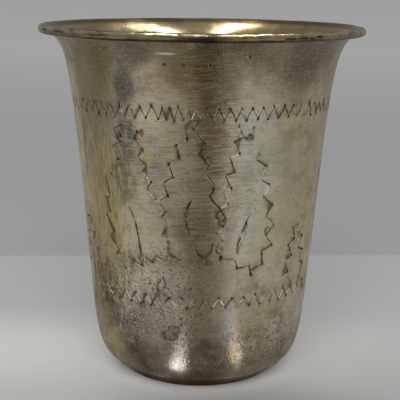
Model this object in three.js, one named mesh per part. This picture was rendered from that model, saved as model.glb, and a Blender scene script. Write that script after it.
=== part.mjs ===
// A small silver kiddush beaker, raised from one sheet: a flat base, a soft crease and a rounded corner,
// a tapering wall that flares into the mouth, and an edge rolled outwards and down into a narrow open roll.
// Millimetres, +Z up, origin at the centre of the flat underside.

import * as THREE from "three";

// Driving dimensions.
const HEIGHT = 65;
const MOUTH_RADIUS = 29.95;
const FOOT_RADIUS = 14.65;
const SHEET = 0.7;

// The rolled edge: the sheet, drawn thin towards the mouth, turns over a hollow almost back to the wall.
const ROLL_RADIUS = 0.74;
const ROLL_SHEET = 0.45;
const ROLL_CENTRE = new THREE.Vector2(MOUTH_RADIUS - ROLL_RADIUS, HEIGHT - ROLL_RADIUS);
const ROLL_START_ANGLE = THREE.MathUtils.degToRad(126);
const ROLL_END_ANGLE = THREE.MathUtils.degToRad(-138);
const THINNING_FROM = 50;

// The crease: a ring just above the base, where the cone around the foot turns into the rounded corner.
const CREASE_RADIUS = 16.67;
const CREASE_HEIGHT = 1.82;
const CREASE_SLOPE = Math.PI / 4;
const CREASE_PULL = 2.45;

// The waist: where the corner has become the wall, and the wall's lean there. The pulls are how far each curve
// of the section keeps to its direction at an end before it turns.
const WAIST_RADIUS = 20.63;
const WAIST_HEIGHT = 15;
const WAIST_LEAN = 0.083;
const CORNER_PULL = 12;
const WALL_PULL = 47;
const FLARE_PULL = 5.8;

// Facets: around the axis, and along each stretch of the section.
const SEGMENTS = 90;
const CORNER_STEPS = 6;
const WALL_STEPS = 9;
const ROLL_STEPS = 10;

// The point at a distance from another, in the direction of an angle.
function alongAngle(point, angle, distance) {
  return new THREE.Vector2(
    point.x + distance * Math.cos(angle),
    point.y + distance * Math.sin(angle),
  );
}

// The sheet's underside and outer face, from the axis to the end of the roll. x is the radius, y the height.
function outerFace() {
  const foot = new THREE.Vector2(FOOT_RADIUS, 0);
  const crease = new THREE.Vector2(CREASE_RADIUS, CREASE_HEIGHT);
  const waist = new THREE.Vector2(WAIST_RADIUS, WAIST_HEIGHT);
  const waistAngle = Math.PI / 2 - WAIST_LEAN;
  const hollowRadius = ROLL_RADIUS - ROLL_SHEET;
  const rollStart = alongAngle(ROLL_CENTRE, ROLL_START_ANGLE, hollowRadius);
  const mouthAngle = ROLL_START_ANGLE - Math.PI / 2;

  const corner = new THREE.CubicBezierCurve(
    crease,
    alongAngle(crease, CREASE_SLOPE, CREASE_PULL),
    alongAngle(waist, waistAngle, -CORNER_PULL),
    waist,
  );
  const wall = new THREE.CubicBezierCurve(
    waist,
    alongAngle(waist, waistAngle, WALL_PULL),
    alongAngle(rollStart, mouthAngle, -FLARE_PULL),
    rollStart,
  );
  const roll = new THREE.EllipseCurve(
    ROLL_CENTRE.x,
    ROLL_CENTRE.y,
    hollowRadius,
    hollowRadius,
    ROLL_START_ANGLE,
    ROLL_END_ANGLE,
    true,
  );
  return [
    new THREE.Vector2(0, 0),
    foot,
    ...corner.getPoints(CORNER_STEPS),
    ...wall.getPoints(WALL_STEPS).slice(1),
    ...roll.getPoints(ROLL_STEPS).slice(1),
  ];
}

// The sheet's thickness at a height.
function sheetAt(height) {
  const thinned = THREE.MathUtils.smoothstep(height, THINNING_FROM, HEIGHT - 2 * ROLL_RADIUS);
  return THREE.MathUtils.lerp(SHEET, ROLL_SHEET, thinned);
}

// The direction square to a step along the section, towards the sheet's inner side.
function squareTo(from, to) {
  const step = to.clone().sub(from).normalize();
  return new THREE.Vector2(-step.y, step.x);
}

// The inner face: every point of the outer face moved square to it by the sheet's thickness.
function innerFace(outer) {
  const squares = outer.slice(1).map((point, index) => squareTo(outer[index], point));
  return outer.map((point, index) => {
    const behind = squares[index - 1] ?? squares[0];
    const ahead = squares[index] ?? behind;
    const mitre = ahead.clone().add(behind).divideScalar(1 + ahead.dot(behind));
    return point.clone().addScaledVector(mitre, sheetAt(point.y));
  });
}

function cup() {
  const outer = outerFace();
  const section = [...outer, ...innerFace(outer).reverse()];
  const geometry = new THREE.LatheGeometry(section, SEGMENTS);
  geometry.rotateX(Math.PI / 2);
  const silver = new THREE.MeshStandardMaterial({ color: 0x8f887c, roughness: 0.36, metalness: 1 });
  const mesh = new THREE.Mesh(geometry, silver);
  mesh.name = "cup";
  return mesh;
}

const kiddushCup = new THREE.Group();
kiddushCup.add(cup());

export default kiddushCup;
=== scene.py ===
import math
import random
from typing import NamedTuple

import bmesh
import bpy
from mathutils import Matrix, Vector, noise
from mathutils.geometry import interpolate_bezier
from mathutils.kdtree import KDTree


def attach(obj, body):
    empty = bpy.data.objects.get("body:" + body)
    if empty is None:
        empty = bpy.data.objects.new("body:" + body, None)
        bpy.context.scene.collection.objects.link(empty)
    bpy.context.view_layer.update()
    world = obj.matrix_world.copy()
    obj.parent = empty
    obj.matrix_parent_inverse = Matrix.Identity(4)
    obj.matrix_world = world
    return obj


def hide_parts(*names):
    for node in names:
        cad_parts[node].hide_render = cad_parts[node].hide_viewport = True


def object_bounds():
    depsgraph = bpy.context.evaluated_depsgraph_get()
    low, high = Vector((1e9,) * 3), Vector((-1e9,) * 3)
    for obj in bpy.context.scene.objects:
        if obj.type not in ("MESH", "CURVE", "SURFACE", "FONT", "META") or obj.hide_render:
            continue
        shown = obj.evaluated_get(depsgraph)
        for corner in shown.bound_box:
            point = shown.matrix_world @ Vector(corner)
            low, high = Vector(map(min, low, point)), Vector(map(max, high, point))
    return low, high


bl_info = {
    "name": "Kiddush cup",
    "version": (1, 0, 0),
    "blender": (4, 5, 0),
    "location": "View3D > Sidebar > Kiddush Cup",
    "description": "A small silver kiddush beaker with an engraved wall and a worn gilt inside",
    "category": "Add Mesh",
}

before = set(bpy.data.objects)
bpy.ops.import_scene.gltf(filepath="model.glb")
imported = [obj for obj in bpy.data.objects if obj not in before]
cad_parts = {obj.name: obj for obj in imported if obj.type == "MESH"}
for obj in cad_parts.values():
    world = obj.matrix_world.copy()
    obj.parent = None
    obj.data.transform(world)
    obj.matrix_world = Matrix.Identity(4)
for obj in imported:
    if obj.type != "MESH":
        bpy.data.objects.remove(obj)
CAD_LOW, CAD_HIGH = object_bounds()

MM = 0.001

# The section's own shape, as in the solid. Lengths are in millimetres, x is the radius and y the height.
CREASE = (16.67, 1.82)
CREASE_SLOPE = math.radians(45)
CREASE_PULL = 2.45
WAIST = (20.63, 15.0)
WAIST_LEAN = 0.083
CORNER_PULL = 12.0
WALL_PULL = 47.0
FLARE_PULL = 5.8
ROLL_START = math.radians(126)
ROLL_TURN = math.radians(264)
THINNING_FROM = 50.0
FOOT_ROUND = 0.3

# The groove and the ridge at the crease: how deep, the ridge's share of that, and how far they are from it.
GROOVE = 0.14
RIDGE_SHARE = 0.6
GROOVE_BELOW = (0.3, 0.05)
RIDGE_ABOVE = 0.22

# Points along each stretch of the section.
UNDERSIDE_RADII = (2.0, 6.0, 10.0, 13.5)
FOOT_STEPS = 4
CORNER_STEPS = 15
WALL_STEPS = 44
ROLL_STEPS = 13

# Finishes, by their slot on the cup.
OUTSIDE, INSIDE, RIM, DARK_CUT, BRIGHT_CUT = range(5)

# What tells the finishes apart: how far the hollow and the outside of the roll reach, in their own radii, how
# squarely a face looks inwards or up, and how high the bottom goes, in millimetres.
HOLLOW_REACH, ROLL_REACH = 1.1, 1.05
LOOKS_IN, LOOKS_UP = -0.15, 0.5
BOTTOM_TOP = 10
SAME_PLACE = 0.0005 * MM
ON_AXIS = 1e-6

# Hand work moves the wall off the true shape between these heights, and fades in and out over a length.
UNEVEN_FROM, UNEVEN_TO, UNEVEN_FADE = 1, 62, 6
BROAD_DENTS, FINE_DENTS = 45, 160
BROAD_SHARE, FINE_SHARE = 0.8, 0.25
# Above them the rolled edge is beaten inwards, and down by a share of it.
BEATEN_DENTS, BEATEN, BEATEN_FADE, BEATEN_DOWN = 130, 0.25, 2, 0.5

# The engraving repeats three times round the cup. The engraver's wall ends below the roll.
REPEATS = 3
WALL_TOP = 63

# The graver's cutter: its sides in a pit and in a stroke, and its rings.
PIT_SIDES, STROKE_SIDES, CUTTER_RINGS = 6, 4, 6

# How uneven the graver's hand was. Pairs are the least and the most. Each tool leans by some degrees, is
# fuller towards one end, and bows to one side.
LEAN, BLUNT, BOW = 14, 0.45, 0.9
STRENGTH = (0.65, 1.0)
# In a cut that is nearer upright than this, either side may shine.
EITHER_SIDE = 0.4
# How clear of each other the strokes of one lot are, in widths.
CLEARANCE = 1.5
# A wriggled line's turns, along it and to the side, and the chances of a pit or a bright side.
TURN_SLIP, TURN_SWING = 0.12, (0.85, 1.15)
PIT_CHANCE, OTHER_PIT_CHANCE, WRIGGLED_BRIGHT = 0.85, 0.2, 0.3
# How far a pit is drawn out and how wide it is, as shares of the pit's length, and how deep beside a stroke.
PIT_DRAWN, PIT_WIDTH, PIT_DEPTH = (0.3, 0.6), (0.45, 0.9), 1.4
# A border's steps, heights and strengths, and how much closer it is where it is crowded.
BORDER_STEP, BORDER_SLIP, BORDER_STRENGTH = (0.86, 1.14), 0.09, (0.6, 1.0)
BORDER_CLOSE, BORDER_PIT_CHANCE = 0.68, 0.75
# The patches where a border is worn, how strong they are, where a stroke is gone, and the weakest one left.
WORN_PATCHES, WORN_STRENGTH, WORN_AWAY, WORN_LEAST = 60, 2.5, 0.5, 0.3
# How high the zigzags of the upper and the lower border are, in millimetres.
UPPER_RISE, LOWER_RISE = 2.0, 1.7
PLAIN_STRENGTH = 0.85

# Painted shade on the floor, seen only as the metal mirrors it: how dark it is all round, by degrees right of
# the front: further off, and close to the cup.
MIRRORED_FAR = (
    (-180, 0.3), (-158, 0.2), (-150, 0.0), (-135, 0.0), (-122, 0.5), (-92, 0.7), (-66, 0.0), (-42, 0.0),
    (-10, 0.9), (8, 0.9), (30, 0.0), (64, 0.0), (92, 0.2), (130, 0.2), (180, 0.3),
)
MIRRORED_NEAR = (
    (-180, 0.5), (-70, 0.6), (-38, 0.85), (-26, 0.6), (-4, 0.95), (9, 0.95), (24, 0.5), (40, 0.6), (180, 0.5),
)

# Glowing patches painted on the floor, seen only in the metal as painted glints low on the cup: where, how
# large in millimetres, colour, strength.
GLINTS = (
    ((-6.9, -29.4, 0.0), (1.4, 5.0, 1.0), (0.9, 0.92, 1.0), 0.75),
    ((-5.8, -23.0, 0.0), (3.2, 3.0, 1.0), (0.95, 0.95, 1.0), 0.85),
    ((19.0, -37.0, 0.0), (2.4, 8.0, 1.0), (0.45, 0.54, 0.88), 0.5),
    ((15.5, -29.0, 0.0), (2.6, 3.4, 1.0), (0.72, 0.52, 0.52), 0.4),
    ((13.0, -24.2, 0.0), (2.6, 3.2, 1.0), (0.95, 0.88, 0.80), 0.8),
)
GLINT_POWER = 2.6

# The floor, in metres. A painted pool of light lies across it beside the cup, and fades towards the right.
FLOOR_HALF = 12.0
POOL_MIDDLE, POOL_EDGE, POOL_FADE = 0.003, (0.002, 0.028), (-0.03, 0.04)
# Painted shade darkens it towards the right of the front. Behind a slanting line it is another grey, paler
# further back. Close round the foot painted light takes away the contact shadow, and a little way in front of
# that painted shade makes it dusky.
RIGHT_FRONT, RIGHT_FRONT_DARK = (0.005, 0.045), 0.14
BACK_LINE, BACK_SLOPE, BACK_FADE = (0.0700, 0.0720), -0.047, (0.05, 0.9)
BY_FOOT = (0.0150, 0.0220)
DUSK_MIDDLE, DUSK_SIZE, DUSK = (0.008, -0.024, 0.0), (0.036, 0.016, 0.01), 0.34
# How far off the metal mirrors the close floor, and from where the one further off.
NEAR_TO_FAR = (0.028, 0.040)

# The camera: its lens in millimetres, how far it looks down and is turned, in radians, and how far back and
# up it stands, in heights of the cup.
LENS, SENSOR = 86.58, 36.0
CAMERA_DIP, CAMERA_ROLL = 0.2263, 0.0117
CAMERA_BACK, CAMERA_UP = 2.769, 1.1269

# The attribute that tells the silver how near a cut is, and how far the nearness reaches, in millimetres.
NEAR_CUT = "near_cut"
NEAR_REACH = 0.45

# Colours of tarnish and rubbed metal that several places share. The clean silver is also painted sheen where
# the lamps' bright bands fall.
GOLDEN, CLEAN_AND_SHEEN, PLUM = (0.84, 0.69, 0.28), (0.88, 0.87, 0.70), (0.30, 0.225, 0.20)
SLATE, UMBER, RUST = (0.155, 0.145, 0.11), (0.16, 0.12, 0.07), (0.24, 0.13, 0.045)
RING_OUTLINE = (0.09, 0.065, 0.03)
BLACK, WHITE = (0.0, 0.0, 0.0), (1.0, 1.0, 1.0)
# White metal is also the painted highlight on the cuts and the painted sparkle by the foot.
WHITE_METAL = (1.0, 0.98, 0.92)

# Colours of one place each: on the wall, by the cuts, at the foot, inside, on the rolled edge and in the cuts.
# The flare's and the corner's darkness is tarnish with painted shade.
DARK_FLARE, DARK_CORNER = (0.26, 0.215, 0.15), (0.45, 0.395, 0.36)
PALE_LINE, DARK_LINE = (0.97, 0.91, 0.76), (0.07, 0.05, 0.03)
PALE_RUN, DARK_RUN = (1.0, 0.88, 0.60), (0.19, 0.13, 0.06)
# The burr's bright colour is rubbed metal with painted glints.
FLECK, OLD_GRIME, BURR_AND_GLINT = (1.0, 0.96, 0.86), (0.16, 0.115, 0.05), (1.0, 0.96, 0.80)
# The brown foot is partly painted shade, and the pale ridge is a painted highlight.
BROWN_FOOT, FOOT_BAND, PALE_RIDGE = (0.13, 0.08, 0.035), (0.50, 0.38, 0.22), (0.62, 0.54, 0.42)
# The rim's top colour is a painted dark reflection, and so is the gilt's edge colour.
GILT_EDGE, RUBBED_RIM, RIM_TOP = (0.16, 0.10, 0.045), (0.64, 0.53, 0.34), (0.10, 0.07, 0.035)
# The polished cut colour is also a painted highlight.
DRY_GRIME, POLISHED_CUT_AND_HIGHLIGHT = (0.15, 0.11, 0.06), (0.76, 0.70, 0.55)

# Mottling low on the wall, plum and then pale: scale, where it starts in the noise, shift, colour.
MOTTLES = ((230.0, 0.50, 0.6, (0.20, 0.155, 0.14)), (520.0, 0.52, 0.3, (0.72, 0.68, 0.62)))
MOTTLE_RANGE = 0.16

# Frosted grain, bright and then dark: scale, shift, colour.
FROSTS = ((2500.0, (0.2, 0.7, 0.3), (0.92, 0.88, 0.80)), (2200.0, (0.6, 0.1, 0.8), (0.14, 0.105, 0.06)))

# Old cleaning has left upright runs at the far left and short flecks next to them: how fine they are round
# the cup and upwards, place, size, strength.
UPRIGHT_RUNS = (
    (1100.0, 35.0, (-70, 36, 22), (8, 8, 34), 1.0),
    (1300.0, 330.0, (-46, 32, 22), (11, 11, 30), 0.55),
)


class Wriggle(NamedTuple):
    """A line that the graver cut by rocking from side to side.

    The guide is a few (degrees right of the front, millimetres high) that its middle passes through. It starts
    on its right or upper side (1) or the other one (-1), and has so many strokes, with turns swing
    millimetres apart. Share is how much of each pair of strokes goes to the one from the left or lower side.
    The pits are where it turns on the pitted side.
    """

    guide: tuple
    first: int
    strokes: int
    swing: float
    share: float
    width: float
    pitted: int = 1


# One flower of three petals and one leaf.
WRIGGLED_LINES = (
    # The left petal.
    Wriggle(((-37.3, 48.3), (-39.3, 43.2)), -1, 3, 1.5, 0.6, 0.26),
    Wriggle(((-45.5, 39.5), (-47, 34.5), (-45, 29), (-39, 23)), -1, 9, 1.3, 0.76, 0.29),
    Wriggle(((-29.3, 49.9), (-21, 36.5)), -1, 9, 1.1, 0.65, 0.32),
    # The middle petal.
    Wriggle(((-4, 50.9), (-12.2, 42.6), (-16.3, 36.1)), 1, 9, 1.2, 0.57, 0.32),
    Wriggle(((-16.5, 36.1), (-16.2, 33), (-15.5, 29.2)), -1, 5, 0.9, 0.6, 0.29),
    Wriggle(((-2.2, 50.3), (2, 43.6), (7.3, 35.3)), 1, 8, 1.05, 0.66, 0.32),
    Wriggle(((8.3, 35.4), (9, 30), (8.8, 26.5)), 1, 6, 1.1, 0.6, 0.27),
    # The right petal.
    Wriggle(((16.3, 47.8), (12.5, 41.1), (10.2, 35.4)), 1, 9, 1.4, 0.72, 0.31),
    Wriggle(((24.5, 45.6), (30.1, 38.3), (33.8, 31.9), (33.3, 28), (27, 23.5)), 1, 13, 1.6, 0.5, 0.29),
    # The line that the petals stand on.
    Wriggle(((-34.5, 24), (-24, 25.7), (-7, 26.9)), -1, 9, 1.2, 0.5, 0.27, pitted=-1),
    Wriggle(((7.5, 27.3), (26, 23.6)), 1, 5, 1.2, 0.62, 0.34, pitted=-1),
    # The leaf between two flowers.
    Wriggle(((52, 31), (49.3, 28), (46, 21.3)), 1, 7, 1.5, 0.67, 0.31),
    Wriggle(((55, 30.9), (57, 26.5), (63, 20.5)), 1, 7, 1.6, 0.5, 0.29),
)

# Plain cuts: points on the wall, the width of the cut and, where it has one, the chance of a bright side.
PLAIN_CUTS = (
    # A long slash in each petal.
    (((-33.8, 35), (-30.9, 32.8), (-29.2, 29.8)), 0.42),
    (((-29.6, 31), (-28.1, 26.4)), 0.7),
    (((-3.4, 36.9), (-5.7, 35), (-6.2, 33)), 0.62),
    (((-6.2, 33.6), (-4.9, 30.2)), 0.5),
    (((22.5, 34), (19.4, 30.9)), 0.4),
    (((21.5, 32.8), (17.6, 28.4)), 0.85, 1.0),
    (((18.2, 29.8), (17.3, 28.4), (17.6, 26.9)), 0.45),
    # The loop at the foot of the middle petal, and the cut that closes its right side.
    (((-2.4, 29.3), (-1.6, 27.8), (0.3, 26.9), (3, 26.7), (5.2, 27.6), (6, 29.4)), 0.32),
    (((7.6, 36.4), (11.9, 33.5)), 0.34),
    # The tip of the right petal.
    (((15.9, 49.2), (17.8, 47.7), (19.4, 47.4)), 0.3),
    (((19.6, 48.3), (22.2, 47.7), (20.3, 47.1)), 0.3),
    # The tip of the left petal.
    (((-38.4, 48.4), (-35.5, 49), (-32.9, 49.1), (-32.1, 48.7)), 0.3),
    # A small drop under the left petal.
    (((-18, 22.1), (-20, 21.3), (-19.9, 20.4), (-18.3, 20), (-16.5, 20.6), (-16.2, 21.6), (-16.9, 22.2)), 0.22),
)

# Single pits in one flower.
PITS = (
    (-13.7, 59.8), (-6.7, 59.7), (3.1, 59.6), (5.7, 61.6), (17.4, 61.1), (15.5, 49.6),
    (21.9, 49.2), (24.6, 23.3), (-42.8, 40.2), (-35.1, 47.2), (-27.9, 17.4), (9.5, 26.7),
)

# Where the edge of the rolled sheet has lifted: degrees right of the front, and degrees up the roll. Then the
# slit's width and its depth.
LIFTED_EDGE = ((25.5, -36), (30.5, -14), (35.5, -13), (37, -22), (41, -14))
LIFTED_WIDTH, LIFTED_DEPTH = 0.6, 0.3


def millimetres(name, description, default):
    """A length that the user may change, given in millimetres."""
    return bpy.props.FloatProperty(
        name=name, description=description, default=default * MM, min=0.0, unit="LENGTH", precision=5
    )


def colour(name, description, default):
    """A colour that the user may change."""
    return bpy.props.FloatVectorProperty(
        name=name, description=description, default=default, size=3, min=0.0, max=1.0, subtype="COLOR"
    )


class BeakerSizes(bpy.types.PropertyGroup):
    """The sizes of the cup."""

    height: bpy.props.FloatProperty(
        name="Height", description="From the underside to the top of the rolled edge",
        default=CAD_HIGH.z - 0.007 * MM, min=0.0, unit="LENGTH", precision=5,
    )
    mouth_radius: bpy.props.FloatProperty(
        name="Mouth radius", description="From the axis to the outside of the rolled edge",
        default=CAD_HIGH.x - 0.01 * MM, min=0.0, unit="LENGTH", precision=5,
    )
    foot_radius: millimetres("Foot radius", "Radius of the flat underside", 14.65)
    sheet: millimetres("Sheet", "Thickness of the silver sheet", 0.7)
    roll_radius: millimetres("Roll radius", "Radius of the rolled edge", 0.74)
    roll_sheet: millimetres("Sheet at the roll", "Thickness of the sheet where it is rolled", 0.45)
    unevenness: millimetres("Unevenness", "How far hand work has left the wall off round", 0.07)
    segments: bpy.props.IntProperty(
        name="Segments", description="Facets round the cup", default=300, min=24, max=720
    )


class EngravingSizes(bpy.types.PropertyGroup):
    """The sizes of the engraving."""

    depth: millimetres("Depth", "Depth of the deepest strokes", 0.12)
    border_width: millimetres("Border stroke", "Width of the strokes of the two borders", 0.31)
    upper_pitch: millimetres("Upper pitch", "Width of one zigzag of the upper border", 2.0)
    lower_pitch: millimetres("Lower pitch", "Width of one zigzag of the lower border", 2.18)
    upper_border: millimetres("Upper border", "Height of the upper border's lower points", 50.6)
    lower_border: millimetres("Lower border", "Height of the lower border's lower points", 17.3)
    pit: millimetres("Pit", "Length of the pits where strokes meet", 0.7)
    seed: bpy.props.IntProperty(
        name="Seed", description="Changes the small differences between the strokes", default=7, min=0
    )


class FinishColours(bpy.types.PropertyGroup):
    """The colours of the metal."""

    silver: colour("Silver", "Worn silver where it is cleanest", (0.81, 0.71, 0.51))
    tarnish: colour("Tarnish", "Silver where it has darkened", (0.30, 0.23, 0.13))
    olive: colour("Olive tarnish", "The yellow-green tint of old tarnish", (0.52, 0.45, 0.20))
    blue_grey: colour("Blue tarnish", "The blue-grey tint of thin tarnish", (0.30, 0.29, 0.27))
    gilt: colour("Gilt", "The gold wash inside", (0.56, 0.445, 0.24))
    grime: colour("Grime", "Dirt in the cuts", (0.034, 0.026, 0.014))


class StudioSettings(bpy.types.PropertyGroup):
    """The floor and the light."""

    floor: colour("Floor", "Colour of the floor in front", (0.55, 0.55, 0.54))
    # The pool is painted light.
    pool: colour("Pool", "Colour of the paler pool beside the cup", (0.73, 0.73, 0.71))
    back: colour("Back", "Colour of the floor behind the line", (0.455, 0.455, 0.453))
    far: colour("Far", "Colour of the floor far back", (0.72, 0.72, 0.705))
    shade: colour("Shade", "Colour of the floor in front as the metal mirrors it", (0.14, 0.12, 0.085))
    ambient: bpy.props.FloatProperty(
        name="Soft light", description="Strength of the light from all round", default=0.57, min=0.0
    )
    room: bpy.props.FloatProperty(
        name="Room", description="How bright the room looks in the metal", default=0.25, min=0.0
    )


# ---------------------------------------------------------------------------------------------------------
# The section
# ---------------------------------------------------------------------------------------------------------


def share_of(value, span):
    """How much of a span a value fills, from nought to one."""
    return min(max(value / span, 0.0), 1.0)


def turned_to(degrees, radius, height):
    """The point at an angle right of the front, in degrees, with its radius and height in metres."""
    angle = math.radians(degrees)
    return Vector((math.sin(angle) * radius, -math.cos(angle) * radius, height))


def section_point(radius, height):
    """A point of the section, given in millimetres."""
    return Vector((radius * MM, 0.0, height * MM))


def stepped_off(point, angle, distance):
    """The point at a distance in metres from another, in the direction of an angle in the section."""
    return point + Vector((math.cos(angle), 0.0, math.sin(angle))) * distance


def roll_centre(sizes):
    """The middle of the rolled edge in the section."""
    return Vector((sizes.mouth_radius - sizes.roll_radius, 0.0, sizes.height - sizes.roll_radius))


def outer_section(sizes):
    """The sheet's outer face, from the underside's centre out and up to the end of the roll."""
    foot = Vector((sizes.foot_radius, 0.0, 0.0))
    crease, waist = section_point(*CREASE), section_point(*WAIST)
    waist_angle = math.pi / 2 - WAIST_LEAN
    centre = roll_centre(sizes)
    hollow = sizes.roll_radius - sizes.roll_sheet
    roll_start = stepped_off(centre, ROLL_START, hollow)
    mouth_angle = ROLL_START - math.pi / 2

    cone = (crease - foot).normalized()
    foot_round = interpolate_bezier(
        foot - Vector((FOOT_ROUND * MM, 0.0, 0.0)), foot, foot, foot + cone * FOOT_ROUND * MM, FOOT_STEPS
    )
    corner = interpolate_bezier(
        crease,
        stepped_off(crease, CREASE_SLOPE, CREASE_PULL * MM),
        stepped_off(waist, waist_angle, -CORNER_PULL * MM),
        waist,
        CORNER_STEPS,
    )
    wall = interpolate_bezier(
        waist,
        stepped_off(waist, waist_angle, WALL_PULL * MM),
        stepped_off(roll_start, mouth_angle, -FLARE_PULL * MM),
        roll_start,
        WALL_STEPS,
    )
    roll = [
        stepped_off(centre, ROLL_START - ROLL_TURN * step / ROLL_STEPS, hollow)
        for step in range(1, ROLL_STEPS + 1)
    ]
    # The body stands a little proud of the foot, over a fine groove.
    square = Vector((cone.z, 0.0, -cone.x))
    before, deepest = GROOVE_BELOW
    groove = [crease - cone * before * MM, crease - cone * deepest * MM - square * (GROOVE * MM)]
    ridge = crease + cone * RIDGE_ABOVE * MM + square * (GROOVE * MM) * RIDGE_SHARE
    underside = [Vector((0.0, 0.0, 0.0))] + [section_point(radius, 0.0) for radius in UNDERSIDE_RADII]
    return underside + foot_round + groove + [ridge] + corner[1:] + wall[1:] + roll


def sheet_at(height, sizes):
    """The sheet's thickness at a height: it was drawn thin towards the mouth."""
    low = THINNING_FROM * MM
    share = share_of(height - low, sizes.height - 2 * sizes.roll_radius - low)
    share = share * share * (3 - 2 * share)
    return sizes.sheet + (sizes.roll_sheet - sizes.sheet) * share


def inner_section(outer, sizes):
    """The sheet's inner face: each outer point moved square to the section by the sheet's thickness."""
    steps = [(b - a).normalized() for a, b in zip(outer, outer[1:])]
    squares = [Vector((-step.z, 0.0, step.x)) for step in steps]
    moved = []
    for index, point in enumerate(outer):
        behind = squares[max(index - 1, 0)]
        ahead = squares[min(index, len(squares) - 1)]
        mitre = (behind + ahead) / (1 + behind.dot(ahead))
        moved.append(point + mitre * sheet_at(point.z, sizes))
    return moved


class Wall:
    """The outer wall, where a place is its angle round the cup and its height."""

    def __init__(self, outer):
        self.points = [point for point in outer if CREASE[1] * MM < point.z < WALL_TOP * MM]

    def radius(self, height):
        """The wall's radius at a height in metres."""
        for low, high in zip(self.points, self.points[1:]):
            if height <= high.z:
                break
        share = (height - low.z) / (high.z - low.z)
        return low.x + (high.x - low.x) * share

    def place(self, degrees, height):
        """The point at an angle right of the front, in degrees, and a height in millimetres."""
        return turned_to(degrees, self.radius(height * MM), height * MM)

    def outwards(self, point):
        """The direction square to the wall at a point on it."""
        across = 0.5 * MM
        slope = (self.radius(point.z + across) - self.radius(point.z - across)) / (2 * across)
        radial = Vector((point.x, point.y, 0.0)).normalized()
        return (radial - Vector((0.0, 0.0, slope))).normalized()


class Rim:
    """The outside of the rolled edge, where a place is its angle round the cup and its angle up the roll."""

    def __init__(self, sizes):
        self.centre, self.roll_radius = roll_centre(sizes), sizes.roll_radius

    def place(self, degrees, up):
        """The point at an angle right of the front, and an angle above the roll's outermost line."""
        up = math.radians(up)
        radius = self.centre.x + math.cos(up) * self.roll_radius
        return turned_to(degrees, radius, self.centre.z + math.sin(up) * self.roll_radius)

    def outwards(self, point):
        """The direction square to the roll at a point on it."""
        radial = Vector((point.x, point.y, 0.0)).normalized()
        return (point - radial * self.centre.x - Vector((0.0, 0.0, self.centre.z))).normalized()


# ---------------------------------------------------------------------------------------------------------
# The engraving
# ---------------------------------------------------------------------------------------------------------


class Stroke:
    """One cut of the graver: where it runs, its width and depth, and how the tool was held."""

    def __init__(self, start, end, width, depth, surface, dice, pit=False, bright=0.0):
        self.start, self.end, self.surface = start, end, surface
        self.width, self.depth, self.pit = width, depth, pit
        self.lean = math.radians(dice.uniform(-LEAN, LEAN))
        self.blunt = dice.uniform(-BLUNT, BLUNT)
        self.bow = 0.0 if pit else dice.uniform(-BOW, BOW)
        self.bright = dice.random() < bright
        self.bright_side = dice.uniform(-EITHER_SIDE, EITHER_SIDE)
        self.middle = (start + end) / 2
        self.reach = (end - start).length / 2 + CLEARANCE * width


def guide_lengths(guide, wall):
    """How far along the guide each of its points lies, in metres."""
    places = [wall.place(*point) for point in guide]
    lengths = [0.0]
    for start, end in zip(places, places[1:]):
        lengths.append(lengths[-1] + (end - start).length)
    return lengths


def on_guide(guide, lengths, distance):
    """The angle and height at a distance along the guide, and the two of its points that this lies between."""
    for index in range(len(guide) - 1):
        if distance <= lengths[index + 1] or index == len(guide) - 2:
            break
    span = lengths[index + 1] - lengths[index]
    share = (distance - lengths[index]) / span
    start, end = guide[index], guide[index + 1]
    return [a + (b - a) * share for a, b in zip(start, end)], start, end


def turns(line, guide, wall, dice):
    """The turning points of a wriggled line along its guide, each with its side."""
    lengths = guide_lengths(guide, wall)
    shares = [line.share if line.first * (-1) ** step < 0 else 1 - line.share for step in range(line.strokes)]
    places, gone = [], 0.0
    for step in range(line.strokes + 1):
        side = line.first * (-1) ** step
        slip = dice.uniform(-TURN_SLIP, TURN_SLIP) / line.strokes
        distance = lengths[-1] * min(gone / sum(shares) + slip, 1.0)
        (degrees, height), start, end = on_guide(guide, lengths, max(distance, 0.0))
        degree = math.radians(1) * wall.radius(height * MM) / MM
        run = Vector(((end[0] - start[0]) * degree, end[1] - start[1])).normalized()
        off = side * line.swing / 2 * dice.uniform(*TURN_SWING)
        places.append(((degrees - run.y * off / degree, height + run.x * off), side))
        gone += shares[min(step, line.strokes - 1)]
    return places


def wriggled(line, turn, sizes, wall, dice):
    """The strokes and pits of a wriggled line, turned round the cup by so many degrees."""
    strokes = []
    places = turns(line, [(degrees + turn, height) for degrees, height in line.guide], wall, dice)
    for (start, _), (end, side) in zip(places, places[1:]):
        strokes.append(cut(start, end, line.width * MM, sizes, wall, dice, bright=WRIGGLED_BRIGHT))
        if dice.random() < (PIT_CHANCE if side == line.pitted else OTHER_PIT_CHANCE):
            strokes.append(pit_at(end, start, sizes, wall, dice))
    return strokes


def cut(start, end, width, sizes, wall, dice, strength=None, bright=0.0):
    """One stroke between two places on the wall. Bright is the chance that one side of it shines."""
    strength = strength or dice.uniform(*STRENGTH)
    start, end = wall.place(*start), wall.place(*end)
    return Stroke(start, end, width * strength, sizes.depth * strength, wall, dice, bright=bright)


def pit_at(place, towards, sizes, wall, dice):
    """A pit where the graver was turned, drawn out a little along one stroke."""
    centre = wall.place(*place)
    run = (wall.place(*towards) - centre).normalized() * sizes.pit * dice.uniform(*PIT_DRAWN)
    width = sizes.pit * dice.uniform(*PIT_WIDTH)
    return Stroke(centre - run, centre + run, width, sizes.depth * PIT_DEPTH, wall, dice, pit=True)


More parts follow.
